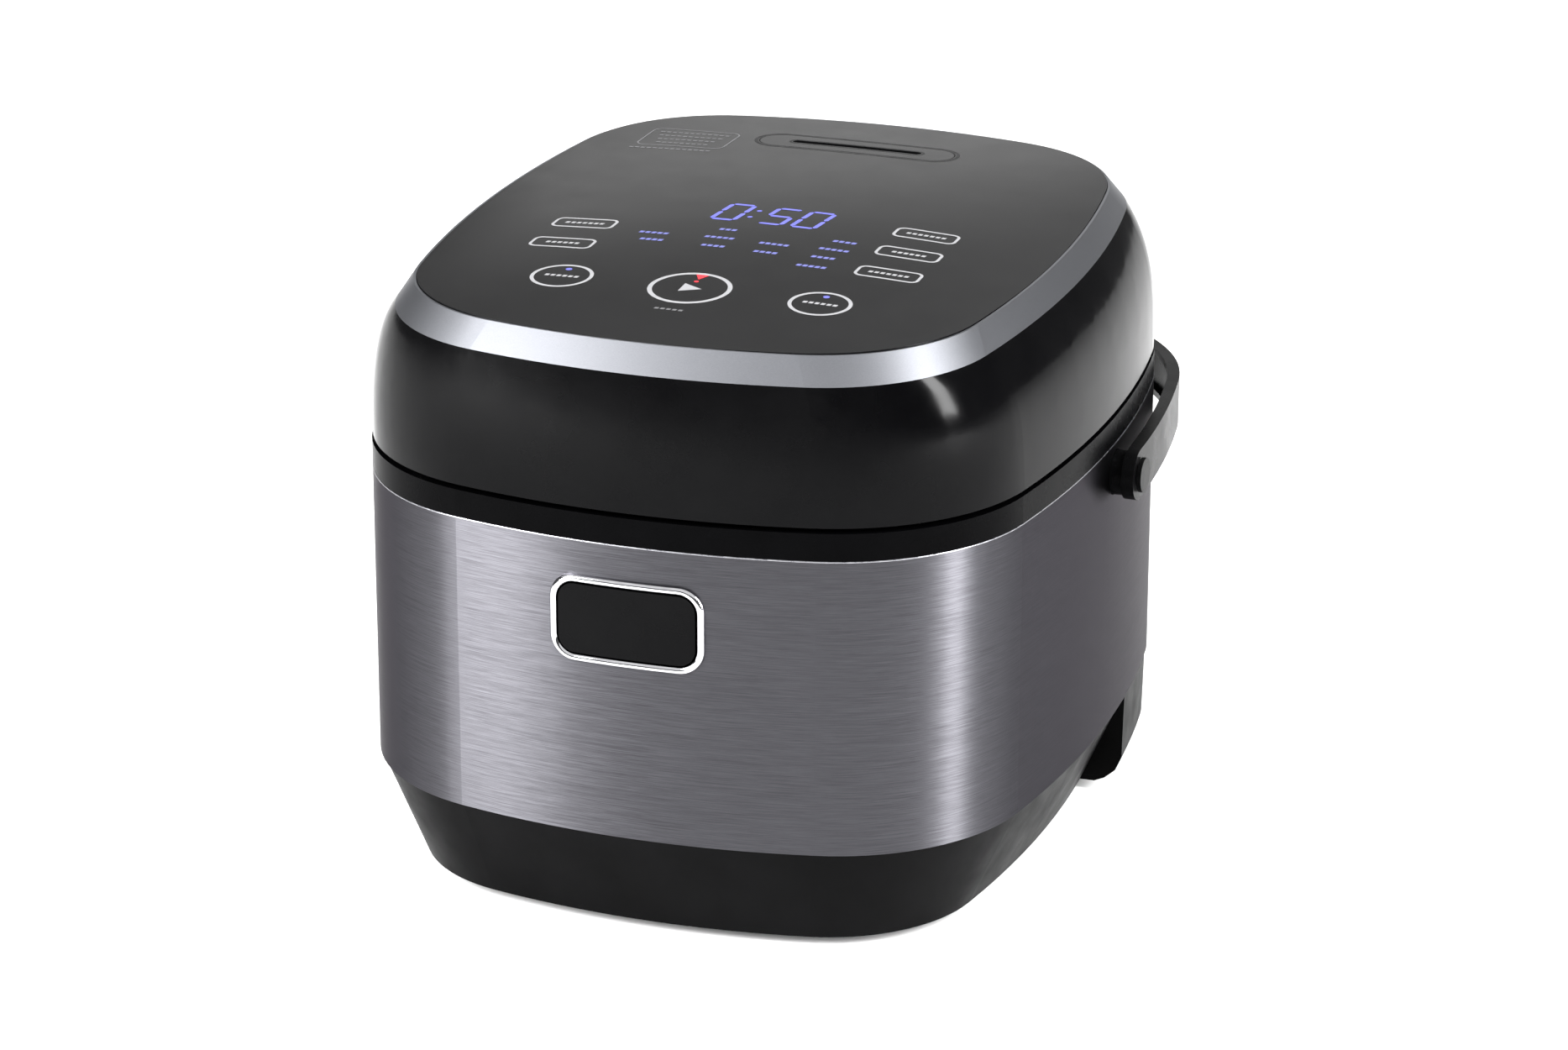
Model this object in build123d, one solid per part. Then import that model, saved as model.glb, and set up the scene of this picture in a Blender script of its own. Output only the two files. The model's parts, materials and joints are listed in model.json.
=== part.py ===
from build123d import *
import math
import os

os.makedirs("parts", exist_ok=True)

# Induction rice cooker. Millimetres, +Z up, the floor at Z 0, the front towards -Y.

# --- overall body -----------------------------------------------------------
BODY_HALF_WIDTH = 140.0
BODY_HALF_DEPTH = 164.0
CORNER_RADIUS = 80.0
FRONT_BOW_RADIUS = 310.0       # front and rear are shallow arcs
SIDE_BOW_RADIUS = 568.0        # and so are the two sides
BASE_BOTTOM_Z = 4.0
STEEL_BOTTOM_Z = 44.6
STEEL_TOP_Z = 163.7
BAND_HEIGHT = 11.0             # black band above the steel
LID_GAP = 2.0                  # shadow gap under the lid
LID_SIDE_HEIGHT = 55.8         # lid edge to the bevelled trim
STEEL_THICKNESS = 0.8
WALL = 3.0
SEAT_CLEARANCE = 0.1           # skirt or lip inside the steel
MOVING_GAP = 0.4               # between parts that move past each other
RUNNING_FIT = 0.05             # radial, shaft in hole
SCREW_RADIUS = 1.5
FAR = 400.0                    # reach of a cut that runs right out of the cooker

DECK_TOP_Z = STEEL_TOP_Z + BAND_HEIGHT
DECK_THICKNESS = 6.7
DECK_UNDERSIDE_Z = DECK_TOP_Z - DECK_THICKNESS
LID_BOTTOM_Z = DECK_TOP_Z + LID_GAP
LID_SHOULDER_Z = LID_BOTTOM_Z + LID_SIDE_HEIGHT

# --- base -------------------------------------------------------------------
BASE_SIDE_TAPER = 19.0         # how far the bowl draws in at the floor
BASE_END_TAPER = 15.0
BASE_CORNER_TAPER = 18.0
REAR_FOOT_START_Y = 42.0       # the rear of the base stays full and carries the rear feet
# Its rounded lower edge: height above the bottom, then how far it draws in.
REAR_FOOT_PROFILE = [(0.0, 13.0), (2.0, 8.5), (6.0, 4.0), (12.0, 1.5)]
LIP_HEIGHT = 8.0               # base lip inside the steel
SKIRT_HEIGHT = 7.0             # top ring's skirt inside the steel
COVER_THICKNESS = 2.5
FLOOR_Z = BASE_BOTTOM_Z + COVER_THICKNESS
BASE_HALF_WIDTH = BODY_HALF_WIDTH - BASE_SIDE_TAPER
BASE_HALF_DEPTH = BODY_HALF_DEPTH - BASE_END_TAPER
BASE_CORNER_RADIUS = CORNER_RADIUS - BASE_CORNER_TAPER
FOOT_RADIUS = 9.0
FOOT_SPOTS = [
    (sign * (BASE_HALF_WIDTH - 39), y)
    for y in (-BASE_HALF_DEPTH + 45, BASE_HALF_DEPTH - 37)
    for sign in (-1, 1)
]
COVER_SCREW_SPOTS = [
    (sign * (BASE_HALF_WIDTH - 29), y)
    for y in (-BASE_HALF_DEPTH + 89, BASE_HALF_DEPTH - 65)
    for sign in (-1, 1)
]

# --- pot and heating --------------------------------------------------------
POT_Y = -14.0
POT_RADIUS = 108.0
POT_WALL = 2.0
POT_BOTTOM_Z = 42.0
POT_CORNER_RADIUS = 28.0
POT_FLANGE_THICKNESS = 2.0
POT_FLANGE_RADIUS = POT_RADIUS + 9
POT_FLANGE_Z = DECK_TOP_Z - 3.7
LINER_GAP = 3.5                # air between pot and liner
LINER_WALL = 2.5
LINER_FLOOR_Z = POT_BOTTOM_Z - 9
LINER_FLANGE_RADIUS = POT_RADIUS + 14
COIL_WIRE = 3.2
COIL_PITCH = 5.2
COIL_INNER_RADIUS = 34.0
COIL_CARRIER_RADIUS = POT_RADIUS - 10
COIL_TURNS = int((COIL_CARRIER_RADIUS - COIL_INNER_RADIUS) / COIL_PITCH) - 1
FERRITE_COUNT = 6
SENSOR_RADIUS = 15.0
SENSOR_WALL = 4.3

# --- lid --------------------------------------------------------------------
LID_TILT = 0.86                # the top leans forward by this many degrees
# Height above the lid's edge, then how far side, ends and corner radius draw in.
LID_PROFILE = [
    (0.0, 0.2, 0.2, -2.0),
    (23.3, 1.2, 1.0, 0.0),
    (41.3, 5.0, 3.0, 4.0),
]
TRIM_LOWER_INSETS = (13.0, 7.0, 12.0)
TRIM_UPPER_INSETS = (19.4, 15.4, 14.0)
TRIM_CENTRE_Y = -2.4
TRIM_HEIGHT = 9.6
PANEL_THICKNESS = 3.0
PANEL_DOME = 5.5
PANEL_INSET = 1.2
PANEL_CLEARANCE = 0.25
HINGE_Y = BODY_HALF_DEPTH - 10
HINGE_Z = LID_BOTTOM_Z + 4.3
HINGE_PIN_RADIUS = 2.5
HINGE_BARREL_RADIUS = 5.0
KNUCKLE_HALF_LENGTH = 18.0
LUG_WIDTH = 9.0
SPRING_END_X = 38.0
HINGE_RELIEF_HALF_WIDTH = 70.0
HINGE_RELIEF_Z = HINGE_Z - 12
LID_FRAME_Z = LID_BOTTOM_Z + 1.3
LID_FRAME_THICKNESS = 3.0
LID_CUP_RADIUS = POT_RADIUS + 4.5
LID_CUP_TOP_Z = LID_FRAME_Z + 12
LID_CUP_ROOF = 2.0
INNER_LID_RADIUS = POT_RADIUS - 5
INNER_LID_Z = LID_FRAME_Z + 2
INNER_LID_THICKNESS = 1.5
LID_SCREW_SPOTS = [
    (sign * (BODY_HALF_WIDTH - 40), y)
    for y in (-BODY_HALF_DEPTH + 42, BODY_HALF_DEPTH - 52)
    for sign in (-1, 1)
]

# --- steam vent -------------------------------------------------------------
VENT_Y = BODY_HALF_DEPTH - 61
VENT_LENGTH = 84.0
VENT_WIDTH = 18.0
VENT_SLOT_LENGTH = 56.0
VENT_SLOT_WIDTH = 3.8
VENT_CAP_BOTTOM_Z = LID_SHOULDER_Z - 26.5
DUCT_WALL = 2.6
STEAM_HOLE_Y = POT_Y + POT_RADIUS - 34
STEAM_HOLE_RADIUS = 8.0

# --- front button and latch -------------------------------------------------
BUTTON_Z = 132.4
BUTTON_WIDTH = 56.0
BUTTON_HEIGHT = 28.6
BUTTON_CORNER = 8.0
BUTTON_THICKNESS = 3.7
BEZEL_BORDER = 3.3
BEZEL_STANDOFF = 2.0
BUTTON_TRAVEL = 3.0
HOOK_Y = -BODY_HALF_DEPTH + 16
HOOK_PIVOT_Z = DECK_TOP_Z - 22.7
HOOK_HALF_WIDTH = 5.0
HOOK_THICKNESS = 4.4
HOOK_PIN_RADIUS = 2.0
STEM_REST_GAP = 1.1            # from the button's stem to the hook
CATCH_BAR_RADIUS = 2.0
CATCH_BAR_Y = HOOK_Y + 6
CATCH_BAR_Z = LID_FRAME_Z + LID_FRAME_THICKNESS + CATCH_BAR_RADIUS + 0.2
LATCH_FRAME_Y = -BODY_HALF_DEPTH + 10.6
LATCH_FRAME_THICKNESS = 2.4
STEM_RADIUS = 4.0
STEM_END_Y = HOOK_Y - HOOK_THICKNESS / 2 - STEM_REST_GAP

# --- carrying handle --------------------------------------------------------
HANDLE_PIVOT_Y = 12.0
HANDLE_PIVOT_Z = 151.0
HANDLE_SIDE_REACH = 10.0       # beyond the body
HANDLE_REAR_REACH = 22.0
HANDLE_CORNER_GROWTH = 17.0
HANDLE_HEIGHT = 20.5
HANDLE_FLANGE = 5.0
HANDLE_WALL = 2.6
HANDLE_EYE_LENGTH = 26.0
HANDLE_PIN_RADIUS = 4.0
HANDLE_BOSS_RADIUS = 9.0
HANDLE_CAP_THICKNESS = 1.8
HANDLE_HALF_WIDTH = BODY_HALF_WIDTH + HANDLE_SIDE_REACH
HANDLE_HALF_DEPTH = BODY_HALF_DEPTH + HANDLE_REAR_REACH
HANDLE_CORNER_RADIUS = CORNER_RADIUS + HANDLE_CORNER_GROWTH

# --- rear, power and cooling ------------------------------------------------
REAR_COVER_HALF_WIDTH = 78.0
REAR_COVER_OVERLAP = 8.0
INLET_X = 46.0
INLET_Z = 72.0
INLET_WIDTH = 27.0
INLET_HEIGHT = 19.5
INLET_RIM = 2.7
INLET_DEPTH = 18.0
FAN_X = -48.0
FAN_Y = BODY_HALF_DEPTH - 55
FAN_SIZE = 60.0
FAN_THICKNESS = 15.0
BOARD_Y = BODY_HALF_DEPTH - 36
BOARD_THICKNESS = 1.6

# The origin lies below the middle of the whole cooker, handle included.
ROW_SHIFT_Y = (BODY_HALF_DEPTH + BEZEL_STANDOFF - HANDLE_HALF_DEPTH) / 2


# --- shared shapes ----------------------------------------------------------
def outline(half_width, half_depth, corner, inset=0.0):
    """Face of a rounded rectangle whose four sides bow outwards."""
    front = Vector(0, -half_depth + FRONT_BOW_RADIUS)
    side = Vector(half_width - SIDE_BOW_RADIUS, 0)
    to_side = side - front
    span = to_side.length
    from_front = FRONT_BOW_RADIUS - corner
    from_side = SIDE_BOW_RADIUS - corner
    along = (span**2 + from_front**2 - from_side**2) / (2 * span)
    across = math.sqrt(from_front**2 - along**2)
    direction = to_side.normalized()
    normal = Vector(-direction.Y, direction.X)
    options = [front + direction * along + normal * sign * across for sign in (1, -1)]
    centre = max(options, key=lambda point: point.X - point.Y)
    bow_end = front + (centre - front).normalized() * (FRONT_BOW_RADIUS - inset)
    side_end = side + (centre - side).normalized() * (SIDE_BOW_RADIUS - inset)
    bisector = ((bow_end - centre).normalized() + (side_end - centre).normalized()).normalized()
    corner_mid = centre + bisector * (corner - inset)

    def turned(point, x_sign, y_sign):
        return (point.X * x_sign, point.Y * y_sign)

    front_mid = (0, -half_depth + inset)
    side_mid = (half_width - inset, 0)
    edges = [
        ThreePointArc(turned(bow_end, -1, 1), front_mid, turned(bow_end, 1, 1)),
        ThreePointArc(turned(bow_end, 1, 1), turned(corner_mid, 1, 1), turned(side_end, 1, 1)),
        ThreePointArc(turned(side_end, 1, 1), side_mid, turned(side_end, 1, -1)),
        ThreePointArc(turned(side_end, 1, -1), turned(corner_mid, 1, -1), turned(bow_end, 1, -1)),
        ThreePointArc(turned(bow_end, 1, -1), (0, half_depth - inset), turned(bow_end, -1, -1)),
        ThreePointArc(turned(bow_end, -1, -1), turned(corner_mid, -1, -1), turned(side_end, -1, -1)),
        ThreePointArc(turned(side_end, -1, -1), (-half_width + inset, 0), turned(side_end, -1, 1)),
        ThreePointArc(turned(side_end, -1, 1), turned(corner_mid, -1, 1), turned(bow_end, -1, 1)),
    ]
    return Face(Wire(edges))


def body_face(inset=0.0):
    return outline(BODY_HALF_WIDTH, BODY_HALF_DEPTH, CORNER_RADIUS, inset)


def prism(face, low_z, high_z):
    """Solid that stands on a flat face, from one height to another."""
    return Pos(0, 0, low_z) * extrude(face, amount=high_z - low_z)


def body_band(outer_inset, inner_inset, low_z, high_z):
    """Wall that follows the body's outline."""
    return prism(body_face(outer_inset), low_z, high_z) - prism(
        body_face(inner_inset), low_z - 1, high_z + 1
    )


def block(low, high):
    """Box from its lowest corner to its highest."""
    size = [b - a for a, b in zip(low, high)]
    middle = [(a + b) / 2 for a, b in zip(low, high)]
    return Pos(*middle) * Box(*size)


def span_x(one_x, other_x, low, high):
    """Box between two X positions given in either order; low and high hold Y and Z."""
    return block((min(one_x, other_x), *low), (max(one_x, other_x), *high))


def tube_x(centre_x, y, z, radius, length):
    return Pos(centre_x, y, z) * Rot(0, 90, 0) * Cylinder(radius, length)


def tube_y(x, centre_y, z, radius, length):
    return Pos(x, centre_y, z) * Rot(90, 0, 0) * Cylinder(radius, length)


def tube_z(x, y, low_z, high_z, radius):
    return Pos(x, y, (low_z + high_z) / 2) * Cylinder(radius, high_z - low_z)


def ring_z(x, y, low_z, high_z, outer, inner):
    return tube_z(x, y, low_z, high_z, outer) - tube_z(x, y, low_z - 1, high_z + 1, inner)


def rounded_bar_y(width, height, corner, low_y, high_y, z):
    """Rounded rectangle seen from the front, drawn through the body along Y."""
    face = Plane.XZ * RectangleRounded(width, height, corner)
    return Pos(0, high_y, z) * extrude(face, amount=high_y - low_y)


def stadium(length, width, low_z, high_z, y=VENT_Y):
    return Pos(0, y, low_z) * extrude(SlotOverall(length, width), amount=high_z - low_z)


def vent_hole(low_z):
    """Upright hole that the steam cap drops into."""
    return stadium(VENT_LENGTH + 2 * MOVING_GAP, VENT_WIDTH + 2 * MOVING_GAP, low_z, FAR)


def spring_z(x, y, low_z, high_z, radius, wire, turns):
    """Compression spring standing along Z with its wire ends inside the stated height."""
    height = high_z - low_z - wire
    path = Helix(height / turns, height, radius)
    start = path @ 0
    section = Plane(origin=start, z_dir=path % 0) * Circle(wire / 2)
    return Pos(x, y, low_z + wire / 2) * sweep(section, path=path, is_frenet=True)


def screw_up(x, y, low_z, length, radius=1.5):
    """Pan-head screw driven upwards from below."""
    head = tube_z(x, y, low_z, low_z + 2, radius * 2)
    shank = tube_z(x, y, low_z + 2, low_z + 2 + length, radius)
    socket = tube_z(x, y, low_z - 1, low_z + 1, radius * 0.8)
    return head + shank - socket


def lid_top(shape):
    """Place a piece drawn around the lid's shoulder plane, which leans forward."""
    return Pos(0, 0, LID_SHOULDER_Z) * Rot(LID_TILT, 0, 0) * shape


def drawn_in_face(side, end, corner, inset=0.0):
    """Outline drawn in from the body's by its own amounts at sides, ends and corners."""
    return outline(BODY_HALF_WIDTH - side, BODY_HALF_DEPTH - end, CORNER_RADIUS - corner, inset)


def lid_face(height, side, end, corner, inset=0.0):
    """Section of the lid's side wall, height above the lid's edge."""
    return Pos(0, 0, LID_BOTTOM_Z + height) * drawn_in_face(side, end, corner, inset)


def lean_face(side, end, corner, height, inset=0.0):
    """Section on the lid's leaning top, height above the shoulder."""
    face = drawn_in_face(side, end, corner, inset)
    return Pos(0, TRIM_CENTRE_Y, height) * face


NODES = {}


def node(name, *shapes):
    """Keep one named part; several shapes are separate solids of one group."""
    solids = []
    for shape in shapes:
        solids.extend(shape.solids())
    NODES[name] = Compound(solids)


# --- base -------------------------------------------------------------------
def base_profile(inset, low_z, high_z):
    """The bowl under the steel, with its fuller rear part."""
    top = Pos(0, 0, high_z) * body_face(inset + STEEL_THICKNESS)
    low = Pos(0, 0, low_z) * outline(
        BASE_HALF_WIDTH, BASE_HALF_DEPTH, BASE_CORNER_RADIUS, inset
    )
    bowl = loft([low, top], ruled=True)
    rear_sections = [
        Pos(0, 0, low_z + height) * body_face(inset + drawn_in) for height, drawn_in in REAR_FOOT_PROFILE
    ]
    rear = loft([*rear_sections, top], ruled=True)
    rear = rear & block((-FAR, REAR_FOOT_START_Y + inset, low_z - 1), (FAR, FAR, high_z + 1))
    return bowl + rear


def base_shell():
    outer = base_profile(0, BASE_BOTTOM_Z, STEEL_BOTTOM_Z)
    inner = base_profile(WALL, BASE_BOTTOM_Z - 0.01, STEEL_BOTTOM_Z + 0.01)
    lip = body_band(STEEL_THICKNESS + SEAT_CLEARANCE, WALL + 0.9, STEEL_BOTTOM_Z, STEEL_BOTTOM_Z + LIP_HEIGHT)
    shell = outer - inner + lip
    for x, y in COVER_SCREW_SPOTS:
        shell += screw_boss(x, y)
    return shell


def screw_boss(x, y):
    """Post for a bottom screw, tied to the side wall by a rib."""
    low, high = FLOOR_Z, 30.0
    post = tube_z(x, y, low, high, 4.5)
    side = math.copysign(1, x)
    rib = span_x(x, side * BODY_HALF_WIDTH, (y - 1.5, low), (y + 1.5, high))
    rib = rib & base_profile(WALL - 1, low, STEEL_BOTTOM_Z)
    return post + rib - tube_z(x, y, 0, high - 8, SCREW_RADIUS + 0.02)


def bottom_plate_face(inset):
    return outline(BASE_HALF_WIDTH, BASE_HALF_DEPTH, BASE_CORNER_RADIUS, inset)


def bottom_cover():
    plate = prism(bottom_plate_face(WALL + 1.2), BASE_BOTTOM_Z, FLOOR_Z)
    rear_inset = REAR_FOOT_PROFILE[0][1] + WALL + 1.0
    rear = prism(body_face(rear_inset), BASE_BOTTOM_Z, FLOOR_Z)
    rear = rear & block((-FAR, REAR_FOOT_START_Y + WALL + 1, 0), (FAR, FAR, FLOOR_Z + 1))
    plate = plate + rear
    for index in range(9):
        x = FAN_X - 24 + index * 6
        plate -= block((x - 1.5, FAN_Y - 22, 0), (x + 1.5, FAN_Y + 22, FLOOR_Z + 1))
    for index in range(7):
        x = 50 + index * 6
        plate -= block((x - 1.5, -40, 0), (x + 1.5, 10, FLOOR_Z + 1))
    for x, y in COVER_SCREW_SPOTS:
        plate -= tube_z(x, y, 0, FLOOR_Z + 1, SCREW_RADIUS + 0.2)
    return plate


def rubber_foot(x, y):
    pad = tube_z(x, y, 0, BASE_BOTTOM_Z, FOOT_RADIUS)
    return chamfer(pad.edges().group_by(Axis.Z)[0], 1.0)


# --- outer wall -------------------------------------------------------------
def boss_hole():
    return [
        tube_x(sign * BODY_HALF_WIDTH, HANDLE_PIVOT_Y, HANDLE_PIVOT_Z, HANDLE_BOSS_RADIUS + 0.3, 30)
        for sign in (-1, 1)
    ]


def steel_wrap():
    wall = body_band(0, STEEL_THICKNESS, STEEL_BOTTOM_Z, STEEL_TOP_Z)
    window = rounded_bar_y(
        BUTTON_WIDTH + 2, BUTTON_HEIGHT + 2, BUTTON_CORNER, -FAR, 0, BUTTON_Z
    )
    reach = REAR_COVER_HALF_WIDTH
    rear = block((-reach, 0, STEEL_BOTTOM_Z - 1), (reach, FAR, STEEL_TOP_Z + 1))
    wall = wall - window - rear
    for hole in boss_hole():
        wall -= hole
    return wall


def rear_cover():
    reach = REAR_COVER_HALF_WIDTH - 0.3
    wide = REAR_COVER_HALF_WIDTH + REAR_COVER_OVERLAP
    wall = body_band(0, WALL, STEEL_BOTTOM_Z, STEEL_TOP_Z)
    wall = wall & block((-reach, 0, 0), (reach, FAR, FAR))
    strips = body_band(STEEL_THICKNESS + SEAT_CLEARANCE, WALL, STEEL_BOTTOM_Z, STEEL_TOP_Z)
    strips = strips & block((-wide, 0, 0), (wide, FAR, FAR))
    wall = wall + strips
    wall -= body_band(STEEL_THICKNESS, WALL + 2, STEEL_BOTTOM_Z - 1, STEEL_BOTTOM_Z + LIP_HEIGHT + 0.3)
    wall -= body_band(STEEL_THICKNESS, WALL + 2, STEEL_TOP_Z - SKIRT_HEIGHT - 0.3, STEEL_TOP_Z + 1)
    wall -= block(
        (INLET_X - INLET_WIDTH / 2 - INLET_RIM - 0.3, 0, INLET_Z - INLET_HEIGHT / 2 - INLET_RIM - 0.3),
        (INLET_X + INLET_WIDTH / 2 + INLET_RIM + 0.3, FAR, INLET_Z + INLET_HEIGHT / 2 + INLET_RIM + 0.3),
    )
    for row in range(8):
        z = 96 + row * 7
        wall -= block((FAN_X - 22, 0, z - 1.5), (FAN_X + 22, FAR, z + 1.5))
    return wall


def top_ring():
    band = body_band(0, WALL, STEEL_TOP_Z, DECK_TOP_Z)
    skirt = body_band(STEEL_THICKNESS + SEAT_CLEARANCE, WALL, STEEL_TOP_Z - SKIRT_HEIGHT, STEEL_TOP_Z + 1)
    deck = prism(body_face(1.0), DECK_UNDERSIDE_Z, DECK_TOP_Z)
    ring = band + skirt + deck
    ring -= tube_z(0, POT_Y, 0, FAR, POT_RADIUS + LINER_GAP)
    ring -= tube_z(0, POT_Y, POT_FLANGE_Z, FAR, POT_FLANGE_RADIUS + 0.8)
    ring -= block(
        (-HINGE_RELIEF_HALF_WIDTH, HINGE_Y - 12, HINGE_RELIEF_Z), (HINGE_RELIEF_HALF_WIDTH, FAR, FAR)
    )
    ring -= block((-HOOK_HALF_WIDTH - 1, HOOK_Y - 9, 0), (HOOK_HALF_WIDTH + 1, HOOK_Y + 7, FAR))
    for sign in (-1, 1):
        ring += hinge_lug(sign)
    for hole in boss_hole():
        ring -= hole
    return ring


def hinge_lug(sign):
    """Ear that rises from the deck and carries one hinge pin."""
    x = sign * (KNUCKLE_HALF_LENGTH + MOVING_GAP + LUG_WIDTH / 2)
    ear = tube_x(x, HINGE_Y, HINGE_Z, HINGE_BARREL_RADIUS, LUG_WIDTH)
    neck = block(
        (x - LUG_WIDTH / 2, HINGE_Y - HINGE_BARREL_RADIUS, HINGE_RELIEF_Z - 0.5),
        (x + LUG_WIDTH / 2, HINGE_Y + HINGE_BARREL_RADIUS, HINGE_Z),
    )
    return ear + neck - tube_x(x, HINGE_Y, HINGE_Z, HINGE_PIN_RADIUS, LUG_WIDTH + 2)


def hinge_pin(sign):
    """Steel pin fixed in the lug; the lid's knuckle turns on its inner end."""
    inner_x = 6.0
    outer_x = KNUCKLE_HALF_LENGTH + MOVING_GAP + LUG_WIDTH
    return tube_x(
        sign * (inner_x + outer_x) / 2, HINGE_Y, HINGE_Z, HINGE_PIN_RADIUS, outer_x - inner_x
    )


# --- liner, pot and heating -------------------------------------------------
def bowl_of_revolution(radius, bottom_z, top_z, corner):
    """Solid round bowl shape with a rounded bottom edge."""
    body = tube_z(0, POT_Y, bottom_z, top_z, radius)
    return fillet(body.edges().group_by(Axis.Z)[0], corner)


def inner_liner():
    """Heat-proof bowl that hangs from the deck and keeps the coil off the pot."""
    outer_radius = POT_RADIUS + LINER_GAP + LINER_WALL
    inner_radius = POT_RADIUS + LINER_GAP
    corner = POT_CORNER_RADIUS + LINER_GAP
    outer = bowl_of_revolution(outer_radius, LINER_FLOOR_Z, DECK_UNDERSIDE_Z, corner + LINER_WALL)
    inner = bowl_of_revolution(inner_radius, LINER_FLOOR_Z + LINER_WALL, DECK_UNDERSIDE_Z + 5, corner)
    flange = ring_z(0, POT_Y, DECK_UNDERSIDE_Z - 3, DECK_UNDERSIDE_Z, LINER_FLANGE_RADIUS, inner_radius + 1)
    liner = outer + flange - inner
    return liner - tube_z(0, POT_Y, 0, POT_BOTTOM_Z, SENSOR_RADIUS + SENSOR_WALL + 0.7)


def inner_pot():
    rim_z = POT_FLANGE_Z + POT_FLANGE_THICKNESS
    outer = bowl_of_revolution(POT_RADIUS, POT_BOTTOM_Z, rim_z, POT_CORNER_RADIUS)
    inner = bowl_of_revolution(
        POT_RADIUS - POT_WALL, POT_BOTTOM_Z + POT_WALL, DECK_TOP_Z, POT_CORNER_RADIUS - POT_WALL
    )
    flange_top = POT_FLANGE_Z + POT_FLANGE_THICKNESS
    flange = ring_z(0, POT_Y, POT_FLANGE_Z, flange_top, POT_FLANGE_RADIUS, POT_RADIUS - 1)
    return outer + flange - inner


def pot_cushion(angle):
    """Silicone pad between the liner's floor and the pot."""
    reach = POT_RADIUS - 48
    x = reach * math.cos(math.radians(angle))
    y = POT_Y + reach * math.sin(math.radians(angle))
    return tube_z(x, y, LINER_FLOOR_Z + LINER_WALL, POT_BOTTOM_Z, 5)


def induction_coil():
    """Flat winding: concentric turns joined by a lead that crosses under them."""
    top = LINER_FLOOR_Z
    coil = None
    for turn in range(COIL_TURNS):
        radius = COIL_INNER_RADIUS + turn * COIL_PITCH
        loop = ring_z(0, POT_Y, top - COIL_WIRE, top, radius + COIL_WIRE, radius)
        coil = loop if coil is None else coil + loop
    lead_end = COIL_INNER_RADIUS + (COIL_TURNS - 1) * COIL_PITCH + COIL_WIRE / 2
    lead = block(
        (COIL_INNER_RADIUS + 1, POT_Y - 1.5, top - COIL_WIRE), (lead_end, POT_Y + 1.5, top - COIL_WIRE + 1)
    )
    return coil + lead


CARRIER_TOP_Z = LINER_FLOOR_Z - COIL_WIRE
CARRIER_BOTTOM_Z = CARRIER_TOP_Z - 3.0


def coil_carrier():
    bore = SENSOR_RADIUS + SENSOR_WALL + 0.7
    disc = ring_z(0, POT_Y, CARRIER_BOTTOM_Z, CARRIER_TOP_Z, COIL_CARRIER_RADIUS, bore)
    for index in range(FERRITE_COUNT):
        angle = math.radians((index + 0.5) * 360 / FERRITE_COUNT)
        reach = COIL_CARRIER_RADIUS - 10
        disc -= tube_z(reach * math.cos(angle), POT_Y + reach * math.sin(angle), 0, CARRIER_TOP_Z + 1, 5)
    return disc


def ferrite_bar(index):
    bar = block((36, -5, CARRIER_BOTTOM_Z - 5), (COIL_CARRIER_RADIUS - 8, 5, CARRIER_BOTTOM_Z))
    return Pos(0, POT_Y, 0) * Rot(0, 0, index * 360 / FERRITE_COUNT) * bar


SENSOR_SEAT_Z = POT_BOTTOM_Z - 20
SENSOR_CAP_FLOOR_Z = POT_BOTTOM_Z - 8


def sensor_housing():
    """Cup below the liner's centre hole that guides the temperature sensor."""
    wall = ring_z(
        0, POT_Y, SENSOR_SEAT_Z - 2, LINER_FLOOR_Z + 5, SENSOR_RADIUS + SENSOR_WALL + MOVING_GAP,
        SENSOR_RADIUS + MOVING_GAP,
    )
    floor = tube_z(0, POT_Y, SENSOR_SEAT_Z - 2, SENSOR_SEAT_Z, SENSOR_RADIUS + SENSOR_WALL)
    return wall + floor


def sensor_cap():
    """Metal-topped plunger that presses on the pot."""
    top = POT_BOTTOM_Z - 0.3
    body = tube_z(0, POT_Y, SENSOR_CAP_FLOOR_Z - 6, top, SENSOR_RADIUS)
    body = chamfer(body.edges().group_by(Axis.Z)[-1], 0.8)
    return body - tube_z(0, POT_Y, SENSOR_CAP_FLOOR_Z - 7, SENSOR_CAP_FLOOR_Z, SENSOR_RADIUS - 2)


# --- cooling and power ------------------------------------------------------
def fan_housing():
    half = FAN_SIZE / 2
    low = FLOOR_Z
    frame = block(
        (FAN_X - half, FAN_Y - half, low), (FAN_X + half, FAN_Y + half, low + FAN_THICKNESS)
    )
    frame = fillet(frame.edges().filter_by(Axis.Z), 4)
    frame -= tube_z(FAN_X, FAN_Y, low - 1, low + FAN_THICKNESS + 1, 28)
    arm = block((FAN_X - 29, FAN_Y - 1.5, low), (FAN_X + 29, FAN_Y + 1.5, low + 2))
    cross = Pos(FAN_X, FAN_Y, 0) * Rot(0, 0, 90) * Pos(-FAN_X, -FAN_Y, 0) * arm
    motor = tube_z(FAN_X, FAN_Y, low, low + 2, 11)
    shaft = tube_z(FAN_X, FAN_Y, low, low + FAN_THICKNESS - 2.5, 1.5)
    return frame + arm + cross + motor + shaft


def fan_impeller():
    low = FLOOR_Z + 3
    high = FLOOR_Z + FAN_THICKNESS - 1
    rotor = tube_z(FAN_X, FAN_Y, low, high, 12)
    for index in range(7):
        blade = Rot(0, 0, index * 360 / 7) * Pos(19, 0, (low + high) / 2) * Rot(40, 0, 0) * Box(16, 12, 1.2)
        rotor += Pos(FAN_X, FAN_Y, 0) * blade
    rotor = rotor & tube_z(FAN_X, FAN_Y, low, high, 27.2)
    return rotor - tube_z(FAN_X, FAN_Y, low - 1, high - 1, 1.5 + RUNNING_FIT)


def power_board():
    return block((-94, BOARD_Y, 40), (6, BOARD_Y + BOARD_THICKNESS, 132))


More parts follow.
